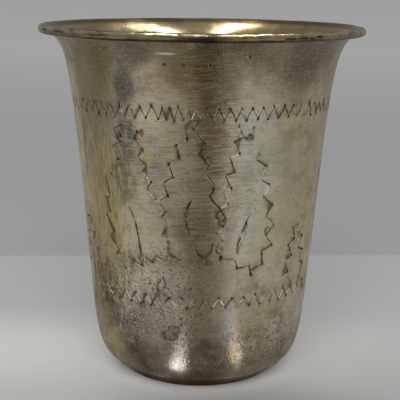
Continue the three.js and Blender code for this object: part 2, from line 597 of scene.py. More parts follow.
def border(low, rise, pitch, sizes, wall, dice, crowded=(0.0, 0.0), worn=0.0, bright=0.25):
    """A zigzag right round the cup. Low is the height of its lower points and rise the zigzag's, in metres.

    Between the two crowded angles the engraver set the strokes closer. Worn is how much is rubbed away, and
    bright is how many strokes have a side that shines.
    """
    steps, degrees = [], -180.0
    pitch_degrees = math.degrees(pitch / wall.radius(low))
    while degrees < 180.0:
        close = BORDER_CLOSE if crowded[0] < degrees < crowded[1] else 1.0
        steps.append(pitch_degrees / 2 * close * dice.uniform(*BORDER_STEP))
        degrees += steps[-1]
    if len(steps) % 2:
        steps.pop()
    fit = 360.0 / sum(steps)
    places, degrees = [], -180.0
    for index, step in enumerate(steps):
        height = low + rise * (index % 2 + dice.uniform(-BORDER_SLIP, BORDER_SLIP))
        places.append((degrees, height / MM))
        degrees += step * fit
    places.append((180.0, places[0][1]))
    strokes = []
    for start, end in zip(places, places[1:]):
        wear = worn * max(noise.noise(wall.place(*start) * WORN_PATCHES) * WORN_STRENGTH, 0.0)
        if wear > WORN_AWAY:
            continue
        strength = max(dice.uniform(*BORDER_STRENGTH) - wear, WORN_LEAST)
        strokes.append(cut(start, end, sizes.border_width, sizes, wall, dice, strength, bright))
        if dice.random() < BORDER_PIT_CHANCE:
            strokes.append(pit_at(start, end, sizes, wall, dice))
    return strokes


def all_strokes(sizes, wall):
    """Every cut on the wall."""
    dice = random.Random(sizes.seed)
    strokes = border(
        sizes.upper_border, UPPER_RISE * MM, sizes.upper_pitch, sizes, wall, dice,
        crowded=(-20.0, -4.0), worn=0.18,
    )
    strokes += border(
        sizes.lower_border, LOWER_RISE * MM, sizes.lower_pitch, sizes, wall, dice, worn=0.8, bright=0.85
    )
    for repeat in range(REPEATS):
        turn = 360.0 * repeat / REPEATS
        for line in WRIGGLED_LINES:
            strokes += wriggled(line, turn, sizes, wall, dice)
        for points, width, *bright in PLAIN_CUTS:
            places = [(degrees + turn, height) for degrees, height in points]
            for start, end in zip(places, places[1:]):
                strokes.append(cut(start, end, width * MM, sizes, wall, dice, PLAIN_STRENGTH, *bright))
        for degrees, height in PITS:
            place = (degrees + turn, height)
            strokes.append(pit_at(place, (place[0] + dice.uniform(-1, 1), height - 1), sizes, wall, dice))
    return strokes


def lifted_edge(sizes, rim):
    """The dark slit right of the front, where the rolled sheet's edge has lifted."""
    dice = random.Random(sizes.seed)
    places = [rim.place(*place) for place in LIFTED_EDGE]
    return [
        Stroke(start, end, LIFTED_WIDTH * MM, LIFTED_DEPTH * MM, rim, dice)
        for start, end in zip(places, places[1:])
    ]


def apart(strokes):
    """The strokes sorted into lots, in each of which none touches another."""
    lots = []
    for stroke in strokes:
        for lot in lots:
            if all((stroke.middle - other.middle).length > stroke.reach + other.reach for other in lot):
                lot.append(stroke)
                break
        else:
            lots.append([stroke])
    return lots


def add_cutter(bm, stroke):
    """The boat-shaped body of metal that one stroke takes out of the wall."""
    along = (stroke.end - stroke.start) / 2
    outwards = stroke.surface.outwards(stroke.middle)
    across = outwards.cross(along).normalized()
    outwards = along.cross(across).normalized()
    lean = Matrix.Rotation(stroke.lean, 3, along.normalized())
    across, outwards = lean @ across, lean @ outwards
    columns = (across * stroke.width / 2, outwards * stroke.depth, along)
    place = Matrix([(*row, 0.0) for row in zip(*columns)] + [(0.0, 0.0, 0.0, 1.0)])
    sides = PIT_SIDES if stroke.pit else STROKE_SIDES
    made = bmesh.ops.create_uvsphere(bm, u_segments=sides, v_segments=CUTTER_RINGS, radius=1.0)["verts"]
    for vert in made:
        fullness = 1 - vert.co.z ** 2
        vert.co.x += stroke.bow * fullness
        vert.co.z += stroke.blunt * fullness
    bmesh.ops.transform(bm, matrix=Matrix.Translation(stroke.middle) @ place, verts=made)
    # The side of a cut that faces up is the one that shines, painted pale as a highlight. In an upright cut it
    # is either.
    shining = across * math.copysign(1, across.z + stroke.bright_side)
    for face in {face for vert in made for face in vert.link_faces}:
        bright = stroke.bright and (face.calc_center_median() - stroke.middle).dot(shining) < 0
        face.material_index = BRIGHT_CUT if bright else DARK_CUT


# ---------------------------------------------------------------------------------------------------------
# The cup's mesh
# ---------------------------------------------------------------------------------------------------------


def spun_sheet(sizes):
    """The cup's sheet as one closed body, turned about the axis."""
    outer = outer_section(sizes)
    section = outer + inner_section(outer, sizes)[::-1]
    bm = bmesh.new()
    verts = [bm.verts.new(point) for point in section]
    edges = [bm.edges.new(pair) for pair in zip(verts, verts[1:])]
    bmesh.ops.spin(
        bm, geom=verts + edges, cent=(0, 0, 0), axis=(0, 0, 1), angle=2 * math.pi,
        steps=sizes.segments, use_merge=True,
    )
    bmesh.ops.remove_doubles(bm, verts=bm.verts, dist=SAME_PLACE)
    bmesh.ops.recalc_face_normals(bm, faces=bm.faces)
    centre = roll_centre(sizes)
    hollow = (sizes.roll_radius - sizes.roll_sheet) * HOLLOW_REACH
    for face in bm.faces:
        face.smooth = True
        middle = face.calc_center_median()
        radial = Vector((middle.x, middle.y, 0.0))
        from_roll = math.hypot(radial.length - centre.x, middle.z - centre.z)
        faces_in = face.normal.dot(radial.normalized()) < LOOKS_IN
        on_bottom = face.normal.z > LOOKS_UP and middle.z < BOTTOM_TOP * MM
        if from_roll < hollow:
            face.material_index = DARK_CUT
        elif from_roll < sizes.roll_radius * ROLL_REACH and not faces_in:
            face.material_index = RIM
        elif faces_in or on_bottom:
            face.material_index = INSIDE
        else:
            face.material_index = OUTSIDE
    return bm, Wall(outer)


def new_piece(name, bm, materials):
    """A piece of the scene from a finished bmesh, with its place in its mesh."""
    mesh = bpy.data.meshes.new(name)
    bm.to_mesh(mesh)
    bm.free()
    for material in materials:
        mesh.materials.append(material)
    piece = bpy.data.objects.new(name, mesh)
    bpy.context.scene.collection.objects.link(piece)
    return piece


def engrave(cup, strokes, materials):
    """Cuts the strokes out of the cup, one lot after another, and keeps the finished mesh."""
    cutters = []
    for number, lot in enumerate(apart(strokes)):
        bm = bmesh.new()
        for stroke in lot:
            add_cutter(bm, stroke)
        cutter = new_piece(f"graver_{number}", bm, materials)
        carving = cup.modifiers.new(cutter.name, "BOOLEAN")
        carving.operation, carving.solver, carving.material_mode = "DIFFERENCE", "MANIFOLD", "INDEX"
        carving.object = cutter
        cutters.append(cutter)
    depsgraph = bpy.context.evaluated_depsgraph_get()
    finished = bpy.data.meshes.new_from_object(cup.evaluated_get(depsgraph))
    plain = cup.data
    cup.modifiers.clear()
    cup.data = finished
    bpy.data.meshes.remove(plain)
    for cutter in cutters:
        bpy.data.meshes.remove(cutter.data)


def off_round(point, sizes):
    """How far hand work has moved the wall out or in at a point, in metres."""
    broad = noise.noise(point * BROAD_DENTS)
    fine = noise.noise(point * FINE_DENTS + Vector((3.0, 1.0, 7.0)))
    return sizes.unevenness * (BROAD_SHARE * broad + FINE_SHARE * fine)


def move_by_hand(point, sizes):
    """Moves a point of the mesh. At the rolled edge it goes only inwards, which keeps the cup's full size."""
    radius = math.hypot(point.x, point.y)
    if radius < ON_AXIS:
        return
    hold = share_of(point.z - UNEVEN_FROM * MM, UNEVEN_FADE * MM)
    hold *= share_of(UNEVEN_TO * MM - point.z, UNEVEN_FADE * MM)
    beaten = max(noise.noise(point * BEATEN_DENTS + Vector((5.0, 2.0, 0.0))), 0.0) * BEATEN * MM
    beaten *= share_of(point.z - UNEVEN_TO * MM, BEATEN_FADE * MM)
    moved = radius + off_round(point, sizes) * hold - beaten
    point.x, point.y = point.x * moved / radius, point.y * moved / radius
    point.z -= beaten * BEATEN_DOWN


def hand_finish(cup, sizes):
    """Moves the mesh a little off the true turned shape, and marks the metal that is near a cut."""
    bm = bmesh.new()
    bm.from_mesh(cup.data)
    for vert in bm.verts:
        move_by_hand(vert.co, sizes)
    cut_verts = [vert for vert in bm.verts if any(face.material_index >= DARK_CUT for face in vert.link_faces)]
    tree = KDTree(len(cut_verts))
    for index, vert in enumerate(cut_verts):
        tree.insert(vert.co, index)
    tree.balance()
    near_cut = bm.verts.layers.float.new(NEAR_CUT)
    for vert in bm.verts:
        vert[near_cut] = math.exp(-tree.find(vert.co)[2] / (NEAR_REACH * MM))
    # The edges of a cut are sharp.
    for edge in bm.edges:
        slots = [face.material_index for face in edge.link_faces]
        if len(slots) == 2 and slots[0] != slots[1]:
            edge.smooth = max(slots) < DARK_CUT
    bm.to_mesh(cup.data)
    bm.free()


# ---------------------------------------------------------------------------------------------------------
# Nodes
# ---------------------------------------------------------------------------------------------------------


def add_node(tree, kind, settings=None, inputs=None):
    """A node with its settings made and its inputs linked or set."""
    made = tree.nodes.new(kind)
    for key, value in (settings or {}).items():
        setattr(made, key, value)
    for key, value in (inputs or {}).items():
        if isinstance(value, bpy.types.NodeSocket):
            tree.links.new(value, made.inputs[key])
        else:
            made.inputs[key].default_value = value
    return made


def calc(tree, operation, *values):
    """One step of arithmetic."""
    return add_node(tree, "ShaderNodeMath", {"operation": operation}, dict(enumerate(values))).outputs[0]


def product(tree, first, *others):
    """Values multiplied together."""
    for other in others:
        first = calc(tree, "MULTIPLY", first, other)
    return first


def away_from(tree, value, middle):
    """How far a value is from the middle, to either side."""
    return calc(tree, "ABSOLUTE", calc(tree, "SUBTRACT", value, middle))


def vector_calc(tree, operation, *values):
    """One step of arithmetic on vectors."""
    return add_node(tree, "ShaderNodeVectorMath", {"operation": operation}, dict(enumerate(values))).outputs[0]


def length_of(tree, vector):
    """The length of a vector."""
    return add_node(tree, "ShaderNodeVectorMath", {"operation": "LENGTH"}, {0: vector}).outputs["Value"]


def mixed(tree, share, first, second):
    """A colour between two others."""
    first, second = [(*value, 1.0) if isinstance(value, tuple) else value for value in (first, second)]
    return add_node(tree, "ShaderNodeMix", {"data_type": "RGBA"}, {0: share, 6: first, 7: second}).outputs[2]


def tinted(tree, paint, tint, *masks):
    """The paint with a tint over it, as strong as the masks multiplied together."""
    return mixed(tree, product(tree, *masks), paint, tint)


def ramped(tree, value, low, high, to_low=0.0, to_high=1.0):
    """A value carried smoothly from one range to another."""
    return add_node(
        tree,
        "ShaderNodeMapRange",
        {"interpolation_type": "SMOOTHSTEP"},
        {"Value": value, "From Min": low, "From Max": high, "To Min": to_low, "To Max": to_high},
    ).outputs[0]


def ramped_mm(tree, length, low, high, to_low=0.0, to_high=1.0):
    """A length carried smoothly from one range, in millimetres, to another."""
    return ramped(tree, length, low * MM, high * MM, to_low, to_high)


def ramped_straight(tree, value, low, high):
    """A value carried evenly to a range from nought to one."""
    inputs = {"Value": value, "From Min": low, "From Max": high}
    return add_node(tree, "ShaderNodeMapRange", None, inputs).outputs[0]


def object_place(tree):
    """The place on the piece, in metres."""
    return add_node(tree, "ShaderNodeTexCoord").outputs["Object"]


def place_parts(tree):
    """The place on the piece as its X, Y and Z."""
    return add_node(tree, "ShaderNodeSeparateXYZ", None, {0: object_place(tree)}).outputs


def grain_at(tree, scale, detail, **more):
    """Plain noise over the piece."""
    inputs = {"Vector": object_place(tree), "Scale": scale, "Detail": detail, **more}
    return add_node(tree, "ShaderNodeTexNoise", None, inputs).outputs["Fac"]


def new_group(name, inputs, output):
    """An empty node group with named sockets: inputs are (name, default), where a triple is a vector."""
    group = bpy.data.node_groups.new(name, "ShaderNodeTree")
    for socket, default in inputs:
        kind = "NodeSocketFloat" if isinstance(default, float) else "NodeSocketVector"
        group.interface.new_socket(name=socket, in_out="INPUT", socket_type=kind).default_value = default
    group.interface.new_socket(name=output, in_out="OUTPUT", socket_type="NodeSocketFloat")
    return group, group.nodes.new("NodeGroupInput").outputs, group.nodes.new("NodeGroupOutput").inputs[output]


def make_rubbed_lines():
    """Fine lines that run round the cup, left by polishing and wiping. They wander up and down a little."""
    group, given, out = new_group(
        "rubbed_lines", (("Round", 90.0), ("Upwards", 3000.0), ("Wander", 0.002)), "Lines"
    )
    sway = calc(group, "SUBTRACT", grain_at(group, 45.0, 1.0), 0.5)
    lift = product(group, sway, given["Wander"])
    lifted = add_node(group, "ShaderNodeCombineXYZ", None, {2: lift}).outputs[0]
    moved = vector_calc(group, "ADD", object_place(group), lifted)
    stretch = {0: given["Round"], 1: given["Round"], 2: given["Upwards"]}
    scaled = vector_calc(
        group, "MULTIPLY", moved, add_node(group, "ShaderNodeCombineXYZ", None, stretch).outputs[0]
    )
    lines = add_node(
        group, "ShaderNodeTexNoise", None, {"Vector": scaled, "Scale": 1.0, "Detail": 3.0, "Roughness": 0.7}
    )
    group.links.new(lines.outputs["Fac"], out)


def make_cloud():
    """Soft uneven patches. The shift gives each use its own patches."""
    group, given, out = new_group(
        "cloud",
        (("Scale", 60.0), ("Detail", 4.0), ("Low", 0.4), ("High", 0.6), ("Shift", (0.0, 0.0, 0.0))),
        "Mask",
    )
    moved = vector_calc(group, "ADD", object_place(group), given["Shift"])
    patches = add_node(
        group, "ShaderNodeTexNoise", None,
        {"Vector": moved, "Scale": given["Scale"], "Detail": given["Detail"], "Roughness": 0.6},
    )
    group.links.new(ramped(group, patches.outputs["Fac"], given["Low"], given["High"]), out)


def make_stain():
    """One stain with a ragged edge: full inside its size and gone outside it."""
    place, size = ("Centre", (0.0, 0.0, 0.0)), ("Size", (0.01, 0.01, 0.01))
    group, given, out = new_group(
        "stain", (place, size, ("Edge", 0.5), ("Ragged", 0.4), ("Grain", 250.0)), "Mask"
    )
    away = vector_calc(group, "SUBTRACT", object_place(group), given["Centre"])
    far = length_of(group, vector_calc(group, "DIVIDE", away, given["Size"]))
    rag = calc(group, "SUBTRACT", grain_at(group, given["Grain"], 4.0, Roughness=0.65), 0.5)
    pushed = calc(group, "ADD", far, product(group, rag, given["Ragged"]))
    start = calc(group, "SUBTRACT", 1.0, given["Edge"])
    group.links.new(ramped(group, pushed, start, 1.0, 1.0, 0.0), out)


def make_specks():
    """Small round pits and specks, thick where the spread is high."""
    group, given, out = new_group("specks", (("Scale", 900.0), ("Size", 0.25), ("Spread", 0.5)), "Mask")
    cells = add_node(
        group, "ShaderNodeTexVoronoi", None, {"Vector": object_place(group), "Scale": given["Scale"]}
    )
    pick = add_node(group, "ShaderNodeSeparateColor", None, {0: cells.outputs["Color"]}).outputs[0]
    chosen = calc(group, "LESS_THAN", pick, given["Spread"])
    dots = ramped(group, cells.outputs["Distance"], product(group, given["Size"], 0.5), given["Size"], 1.0, 0.0)
    group.links.new(product(group, dots, chosen), out)


def effect(tree, name, **inputs):
    """A node group placed in a material with its own values."""
    placed = add_node(tree, "ShaderNodeGroup", {"node_tree": bpy.data.node_groups[name]})
    for key, value in inputs.items():
        placed.inputs[key.capitalize()].default_value = value
    return placed.outputs[0]


def cloud(tree, scale, low, high, shift=(0.0, 0.0, 0.0), **more):
    """The mask of uneven patches, with the noise where they start and where they are full."""
    return effect(tree, "cloud", scale=scale, low=low, high=high, shift=shift, **more)


def lines_round(tree, around, upwards, wander):
    """Rubbed lines: how fine they are round the cup and upwards, and how far they wander."""
    return effect(tree, "rubbed_lines", round=around, upwards=upwards, wander=wander)


def specks_at(tree, scale, size, spread):
    """The mask of specks: how close their places are, how large they are, and the share that is not empty."""
    return effect(tree, "specks", scale=scale, size=size, spread=spread)


def new_material(name):
    """A material with its Principled shader and nothing on it yet."""
    material = bpy.data.materials.new(name)
    material.use_nodes = True
    return material, material.node_tree, material.node_tree.nodes["Principled BSDF"]


def set_inputs(tree, shader, inputs):
    """Links or sets the shader's inputs."""
    for key, value in inputs.items():
        if isinstance(value, bpy.types.NodeSocket):
            tree.links.new(value, shader.inputs[key])
        else:
            shader.inputs[key].default_value = (*value, 1.0) if isinstance(value, tuple) else value


def bumped(tree, height, distance):
    """The surface's direction, tilted by a height."""
    return add_node(tree, "ShaderNodeBump", None, {"Height": height, "Distance": distance}).outputs["Normal"]


def on_wall(degrees, height, radius):
    """A place near the wall for a stain, as (x, y, z) in metres."""
    angle = math.radians(degrees)
    return (math.sin(angle) * radius * MM, -math.cos(angle) * radius * MM, height * MM)


def stain_at(tree, place, size, **shape):
    """The mask of one stain at (degrees, height, radius), its size in millimetres."""
    return effect(tree, "stain", centre=on_wall(*place), size=tuple(extent * MM for extent in size), **shape)


def stained(tree, paint, stains, edge=0.8, ragged=0.9):
    """The paint with stains on it: place, size, colour, strength."""
    for place, size, tint, strength in stains:
        mask = stain_at(tree, place, size, edge=edge, ragged=ragged)
        paint = tinted(tree, paint, tint, mask, strength)
    return paint


def ringed(tree, paint, rings, outline):
    """The paint with stains that dried with a dark outline: place, size, colour."""
    for place, size, tint in rings:
        mask = stain_at(tree, place, size, edge=1.0, ragged=0.55, grain=900.0)
        paint = mixed(tree, ramped(tree, mask, 0.0, 0.05, 0.0, 0.85), paint, outline)
        paint = mixed(tree, ramped(tree, mask, 0.10, 0.30, 0.0, 0.9), paint, tint)
    return paint


def clouded(tree, paint, clouds):
    """The paint under clouds: scale, where they start and are full, shift, colour, strength."""
    for scale, low, high, shift, tint, strength in clouds:
        paint = tinted(tree, paint, tint, cloud(tree, scale, low, high, (shift, shift / 2, -shift)), strength)
    return paint


# ---------------------------------------------------------------------------------------------------------
# Finishes
# ---------------------------------------------------------------------------------------------------------


def broad_tarnish(tree, paint, colours):
    """Tarnish that lies over most of the outside."""
    brown, olive, blue_grey = tuple(colours.tarnish), tuple(colours.olive), tuple(colours.blue_grey)
    # It is golden on the left of the front. Right of the middle, and high up left of it, it is paler where the
    # lamps' bright bands fall: cleaner metal with painted sheen.
    paint = stained(tree, paint, (
        ((-68, 36, 22), (9, 9, 32), GOLDEN, 0.95),
        ((-46, 34, 22), (6, 6, 26), GOLDEN, 0.7),
        ((27, 36, 22.6), (5.5, 5.5, 24), CLEAN_AND_SHEEN, 0.85),
        ((15, 33, 22), (3, 3, 10), CLEAN_AND_SHEEN, 0.5),
        ((58, 34, 22), (7, 7, 26), (0.80, 0.69, 0.40), 0.85),
        ((-18, 55, 24), (5, 5, 9), (0.88, 0.76, 0.56), 0.8),
        ((-5, 47, 23.3), (3, 3, 4), (0.86, 0.76, 0.56), 0.5),
    ))
    return clouded(tree, paint, (
        (70.0, 0.42, 0.70, 0.0, olive, 0.55),
        (55.0, 0.50, 0.72, 0.3, blue_grey, 0.45),
        (85.0, 0.52, 0.72, 0.9, PLUM, 0.45),
        (120.0, 0.50, 0.75, 0.5, brown, 0.5),
        (420.0, 0.50, 0.70, 0.1, brown, 0.4),
        (900.0, 0.54, 0.72, 0.7, (0.20, 0.15, 0.09), 0.3),
    ))


def placed_tarnish(tree, paint, colours):
    """Single stains on the front and beside it, in the order in which they lie on one another; the pale ones on
    the lamps' bright bands are partly painted sheen.
    """
    brown, olive = tuple(colours.tarnish), tuple(colours.olive)
    paint = stained(tree, paint, (
        ((-55, 36, 22.3), (5, 5, 18), (0.95, 0.78, 0.42), 0.7),
        ((-15, 51.0, 23.8), (8, 6, 4.2), (0.95, 0.83, 0.58), 0.75),
        ((29, 47, 23.4), (5, 5, 9), (0.76, 0.74, 0.56), 0.5),
        # A small white mark high on the left of the front is a painted glint.
        ((-13, 61.5, 25.9), (2.8, 2, 0.32), (1.0, 0.99, 0.95), 1.0),
        ((-16, 54, 24), (5, 4, 4), (0.84, 0.72, 0.50), 0.6),
        ((-13, 45, 23.2), (3, 3, 5), (0.80, 0.68, 0.46), 0.5),
        ((19, 48, 23.4), (4, 4, 8), (0.84, 0.84, 0.73), 0.65),
        ((19.5, 31, 21.9), (2.6, 2.6, 8), (0.95, 0.92, 0.76), 0.8),
        ((34, 30, 21.9), (5, 5, 11), (0.82, 0.78, 0.46), 0.6),
        ((-43, 38, 22.7), (4, 4, 16), (0.86, 0.72, 0.34), 0.6),
        ((-13, 21, 21), (4, 4, 4.5), (0.84, 0.77, 0.62), 0.8),
        # A lilac patch low on the right is the painted colour of a reflection over a glint.
        ((14, 13.5, 20.5), (2.2, 2.4, 5.5), (0.62, 0.60, 0.68), 0.5),
        ((-57, 13, 20.4), (4.5, 4.5, 13), (0.66, 0.55, 0.24), 0.8),
        ((-76, 46, 24), (7, 7, 24), (0.95, 0.76, 0.38), 0.5),
        ((-13, 13.5, 20.5), (2.2, 2.2, 8), (0.82, 0.74, 0.62), 0.75),
        ((32, 34, 22), (5, 5, 5), (0.88, 0.83, 0.56), 0.5),
        ((72, 57, 26), (9, 9, 9), (0.52, 0.40, 0.21), 0.6),
        ((-15, 29.5, 21.8), (3, 3, 4), (0.84, 0.76, 0.58), 0.6),
        ((-41, 59.5, 25.8), (4.5, 4.5, 5), UMBER, 0.5),
        ((-54, 58, 25.5), (3, 3, 6), (0.66, 0.56, 0.34), 0.6),
        # A thin pale upright line near the left edge is a painted reflection.
        ((-62, 58, 26.0), (0.9, 0.9, 6), (1.0, 0.93, 0.78), 0.75),
        ((-13.5, 52.5, 24), (4, 3.5, 5), (0.90, 0.78, 0.56), 0.5),
        ((-22.5, 47, 23.4), (2.2, 2.2, 4), brown, 0.35),
        ((20, 41.5, 22.9), (3, 3, 3), brown, 0.25),
        ((44, 33, 22.2), (4, 4, 7), (0.82, 0.74, 0.42), 0.5),
        ((-58, 33, 22), (3, 3, 9), (0.96, 0.80, 0.44), 0.6),
        ((-24, 29, 21.8), (5, 4, 3), (0.84, 0.76, 0.58), 0.5),
        # A paler patch low on the left is part of a painted glint.
        ((-19, 8, 20), (3, 3, 2.5), (0.70, 0.62, 0.52), 0.5),
        ((-1, 8, 20), (4, 4, 4), (0.66, 0.58, 0.49), 0.5),
        ((32, 8, 20), (3.5, 3.5, 3), (0.84, 0.73, 0.50), 0.6),
        ((-29, 14, 20.5), (6, 6, 7), (0.52, 0.465, 0.46), 0.5),
        ((-14, 28, 21.7), (4, 4, 3), (0.86, 0.78, 0.62), 0.35),
        ((-38, 61, 26), (4, 4, 3), UMBER, 0.35),
        ((-50, 57, 25.4), (3, 3, 6), (0.74, 0.64, 0.44), 0.45),
        ((-24, 59.5, 25.5), (2, 2, 2), brown, 0.4),
        ((-39, 22, 21.3), (3, 3, 5), brown, 0.4),
        ((31, 9.5, 20), (2.6, 2.6, 2.6), (0.90, 0.80, 0.58), 0.6),
        ((-42, 4.5, 19), (4, 4, 2), (0.55, 0.48, 0.28), 0.5),
        ((-25, 21.5, 21.2), (3, 3, 3.5), (0.86, 0.78, 0.66), 0.35),
        ((-19, 10, 20), (2.6, 2.6, 3), (0.78, 0.68, 0.56), 0.6),
        ((46, 10.5, 20.2), (5.5, 5.5, 6), (0.74, 0.65, 0.42), 0.55),
        ((-28, 27.5, 21.7), (4, 4, 2.6), (0.84, 0.76, 0.60), 0.35),
        ((-52, 30, 21.9), (5, 5, 4), (0.92, 0.76, 0.42), 0.35),
        ((2, 22, 21.2), (4, 4, 4), (0.84, 0.76, 0.58), 0.3),
        ((29, 47, 23.3), (2.6, 2.6, 3.4), (0.90, 0.84, 0.62), 0.45),
        ((-6, 10, 20), (3, 3, 3), (0.74, 0.66, 0.56), 0.4),
        ((-37, 12.5, 20.2), (3, 3, 5), (0.17, 0.13, 0.12), 0.6),
        ((-36, 25, 21.6), (2.5, 2.5, 2.5), brown, 0.5),
        ((-62, 20.5, 21), (4, 4, 5), (0.34, 0.20, 0.08), 0.7),
        ((-52, 21, 21.2), (4, 4, 3), (0.42, 0.29, 0.12), 0.6),
        ((40, 49.8, 23.6), (3, 3, 2), (0.98, 0.88, 0.48), 0.55),
        ((33, 28, 21.8), (4.5, 4.5, 4), (0.88, 0.82, 0.56), 0.6),
        ((-12, 48.5, 23.3), (4, 4, 4), (0.88, 0.78, 0.58), 0.4),
        # A dark patch just under the rolled edge at the front is painted shade.
        ((7, 62.7, 27), (7, 5, 1.5), UMBER, 0.7),
        ((-42, 57, 25), (6, 6, 10), (0.42, 0.33, 0.14), 0.6),
        ((-10, 58, 25), (6, 4, 3.4), (0.50, 0.33, 0.16), 0.75),
        ((-26, 61.5, 26), (6, 6, 3.2), UMBER, 0.8),
        # The next five tall patches run down the middle of the front: tarnish with a painted dark reflection in
        # them.
        ((3, 57, 25), (2.8, 3, 9), (0.20, 0.125, 0.05), 0.8),
        ((10, 56, 24.6), (3.4, 3.4, 9), UMBER, 0.55),
        ((7, 46, 23.3), (2.8, 2.8, 9), brown, 0.55),
        ((2, 50, 24), (3.8, 4, 12), (0.28, 0.19, 0.08), 0.65),
        ((1, 32, 22), (4.5, 4, 14), brown, 0.34),
        ((44, 61, 26.5), (12, 12, 8), UMBER, 0.7),
        ((19, 62, 26.2), (6, 6, 3), UMBER, 0.5),
        ((-72, 20, 21), (6, 6, 10), brown, 0.5),
        ((-58, 28, 22), (2.0, 2.0, 7), olive, 0.4),
        ((-46, 14, 20.6), (6, 6, 10), UMBER, 0.65),
        ((-34, 12, 20.4), (5, 5, 5), UMBER, 0.45),
        ((-36, 8, 19.5), (5, 5, 4), UMBER, 0.6),
        ((-53, 7, 19.5), (5, 5, 5), (0.78, 0.68, 0.36), 0.7),
        ((-22, 8, 20), (1.6, 1.6, 2.4), (0.34, 0.28, 0.10), 0.7),
        ((19.5, 47.5, 23.4), (0.95, 0.75, 0.55), (0.50, 0.50, 0.18), 0.8),
        ((-23, 43.5, 23), (1.2, 1.2, 2.6), (0.75, 0.64, 0.22), 0.6),
        ((42, 15, 21), (3, 3, 3), (0.28, 0.26, 0.12), 0.6),
        ((-53, 15.5, 20.6), (1.5, 1.5, 2.2), (0.30, 0.14, 0.04), 0.9),
        ((-26, 4.0, 19), (3.5, 3, 1.6), (0.13, 0.12, 0.04), 0.65),
        ((-49, 16.5, 20.8), (0.7, 0.7, 3.2), UMBER, 0.9),
        ((-46, 13.2, 20.5), (0.9, 0.9, 1.6), (0.09, 0.065, 0.03), 0.85),
        # A small white dot low on the right is a painted glint.
        ((27, 10.4, 20.2), (0.42, 0.42, 0.36), (1.0, 1.0, 1.0), 1.0),
    ))
    # Blue-black tarnish stands in a tall patch that turns olive at its foot.
    paint = stained(tree, paint, (
        ((-29.5, 59.5, 25.8), (3.2, 3.2, 3), (0.20, 0.18, 0.12), 0.7),
        ((-31.5, 55.8, 24.6), (3.4, 3.4, 4.0), SLATE, 0.9),
        ((-32, 50, 23.6), (2.9, 2.9, 4), (0.24, 0.22, 0.14), 0.4),
        ((-32, 47.6, 23.2), (3.1, 3.1, 3.4), SLATE, 0.95),
        ((-32.5, 44.8, 23.0), (3.0, 3.0, 3.0), (0.20, 0.20, 0.15), 0.6),
        ((-35, 40, 22.5), (3.9, 3.9, 7), (0.29, 0.28, 0.13), 0.8),
    ), edge=0.6)
    return ringed(tree, paint, (
        ((-14.2, 11.8, 20.4), (1.7, 1.7, 1.25), (0.42, 0.36, 0.16)),
        ((-12.2, 12.9, 20.4), (1.3, 1.3, 0.9), (0.46, 0.42, 0.24)),
        ((32.2, 30.7, 22.0), (0.75, 0.75, 0.85), (0.45, 0.42, 0.10)),
        ((3.1, 43.8, 23.0), (0.6, 0.6, 0.8), (0.40, 0.36, 0.08)),
        ((-24.9, 48.1, 23.5), (0.5, 0.5, 0.8), (0.36, 0.21, 0.07)),
        ((4.5, 25.5, 21.5), (0.6, 0.6, 0.5), (0.45, 0.42, 0.14)),
    ), RING_OUTLINE)


def grained(tree, paint, level):
    """Fine grain: mottling low down, frost, rust at the far left, and bright specks by the foot: scuffs with
    painted sparkle.
    """
    low_down = ramped_mm(tree, level, 27, 16, 0.0, 0.75)
    for scale, start, shift, tint in MOTTLES:
        mottle = cloud(tree, scale, start, start + MOTTLE_RANGE, (shift, 0.2, shift))
        paint = tinted(tree, paint, tint, mottle, low_down, 0.75)
    # The frost is thickest low on the left of the front, and there is some at the lower right.
    left = stain_at(tree, (-22, 18, 21), (15, 15, 15), edge=0.9, ragged=1.2)
    right = stain_at(tree, (42, 10, 20), (13, 13, 8), edge=0.9, ragged=1.2)
    frosted = ramped(tree, calc(tree, "MAXIMUM", left, product(tree, right, 0.75)), 0.0, 1.0, 0.22, 1.0)
    for scale, shift, tint in FROSTS:
        frost = cloud(tree, scale, 0.50, 0.68, shift, detail=3.0)
        paint = tinted(tree, paint, tint, frost, frosted)
    rusty = stain_at(tree, (-60, 18, 20.8), (8, 8, 9), edge=0.9, ragged=0.8)
    rust_grain = cloud(tree, 1100.0, 0.46, 0.58, (0.4, 0.6, 0.1))
    paint = tinted(tree, paint, RUST, rusty, rust_grain, 0.85)
    # Bright specks low on the front are scuffs with painted sparkle.
    scuffs_and_sparkle = stain_at(tree, (1, 6, 19), (8, 5, 2.6), edge=0.8, ragged=0.8)
    return tinted(tree, paint, WHITE_METAL, specks_at(tree, 1700.0, 0.42, 0.22), scuffs_and_sparkle)


def wiped(tree, paint, streaks):
    """The paint with the lines left by rubbing, and with upright runs and flecks at the far left."""
    # They are plainest on the upper half of the front.
    front = stain_at(tree, (-2, 43, 23), (18, 30, 24), edge=0.7, ragged=0.5)
    rubbed = ramped(tree, front, 0.0, 1.0, 0.15, 1.0)
    paint = tinted(tree, paint, PALE_LINE, ramped(tree, streaks, 0.50, 0.66, 0.0, 0.65), rubbed)
    paint = tinted(tree, paint, DARK_LINE, ramped(tree, streaks, 0.49, 0.33, 0.0, 0.42), rubbed)
    for around, upwards, place, size, strength in UPRIGHT_RUNS:
        runs = lines_round(tree, around, upwards, 0.0)
        mask = product(tree, stain_at(tree, place, size, edge=0.7, ragged=0.6), strength)
        paint = tinted(tree, paint, PALE_RUN, ramped(tree, runs, 0.5, 0.64), mask)
        paint = tinted(tree, paint, DARK_RUN, ramped(tree, runs, 0.48, 0.35, 0.0, 0.65), mask)
    return paint


